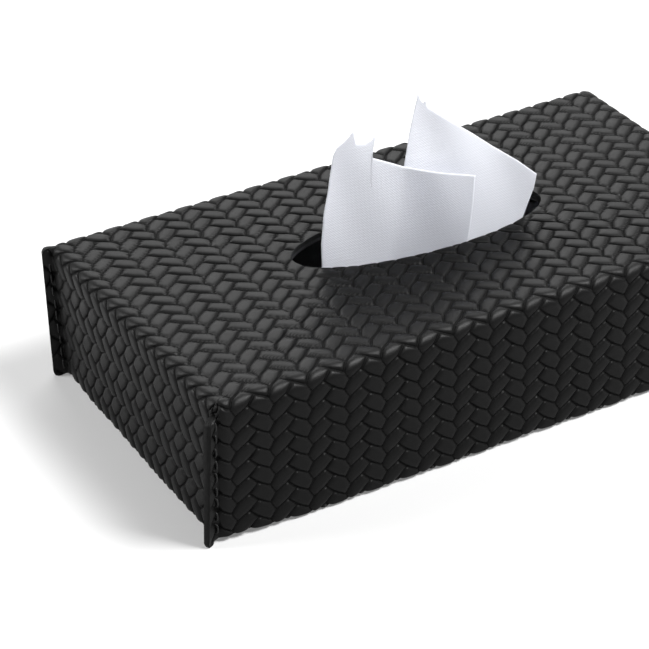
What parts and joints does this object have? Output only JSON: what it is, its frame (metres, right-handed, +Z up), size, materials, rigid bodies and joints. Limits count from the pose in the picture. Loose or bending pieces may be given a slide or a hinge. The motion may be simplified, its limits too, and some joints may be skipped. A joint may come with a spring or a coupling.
{
  "type": "tissue box cover",
  "caption": "Low tissue box cover in woven-pattern black leatherette, oval slot in the top, flanged corner seams, magnetic bottom flap and a raised tissue.",
  "frame": {"origin": "middle of the footprint, at table height, where the corner flanges stand", "axes": "+X along the long side, +Y from the front wall to the back wall where the flap is hinged, +Z up"},
  "size_m": [0.2604, 0.1328, 0.124],
  "materials": {
    "cover": "black embossed leatherette, satin",
    "board": "grey board, matt",
    "lining": "black lining cloth, matt",
    "thread": "black waxed thread",
    "flap_leather": "black plain leatherette, satin",
    "magnet": "plated disc magnet",
    "tissue": "soft white tissue, matt"
  },
  "bodies": {
    "box": {"outer_cover": "cover", "top_board": "board", "front_board": "board", "back_board": "board", "left_board": "board", "right_board": "board", "top_lining": "lining", "front_lining": "lining", "back_lining": "lining", "left_lining": "lining", "right_lining": "lining", "front_left_stitching": "thread", "front_right_stitching": "thread", "back_left_stitching": "thread", "back_right_stitching": "thread", "magnet_tabs": "flap_leather", "tab_magnets": "magnet", "hinge_strip": "flap_leather"},
    "flap": {"flap_cover": "flap_leather", "flap_board": "board", "flap_lining": "lining", "flap_magnets": "magnet", "pull_tab": "flap_leather", "tissue_stack": "tissue"},
    "tissue": {"tissue_front_leaf": "tissue", "tissue_back_leaf": "tissue"}
  },
  "joints": [
    {"name": "bottom_flap_hinge", "type": "hinge", "parent": "box", "child": "flap", "pos_m": [0, 0.06163, 0.0012], "axis": [1, 0, 0], "range_deg": [0, 160], "deforming": ["hinge_strip"]},
    {"name": "tissue_pull", "type": "slide", "parent": "box", "child": "tissue", "axis": [0, 0, 1], "range_m": [0, 0.1]}
  ]
}
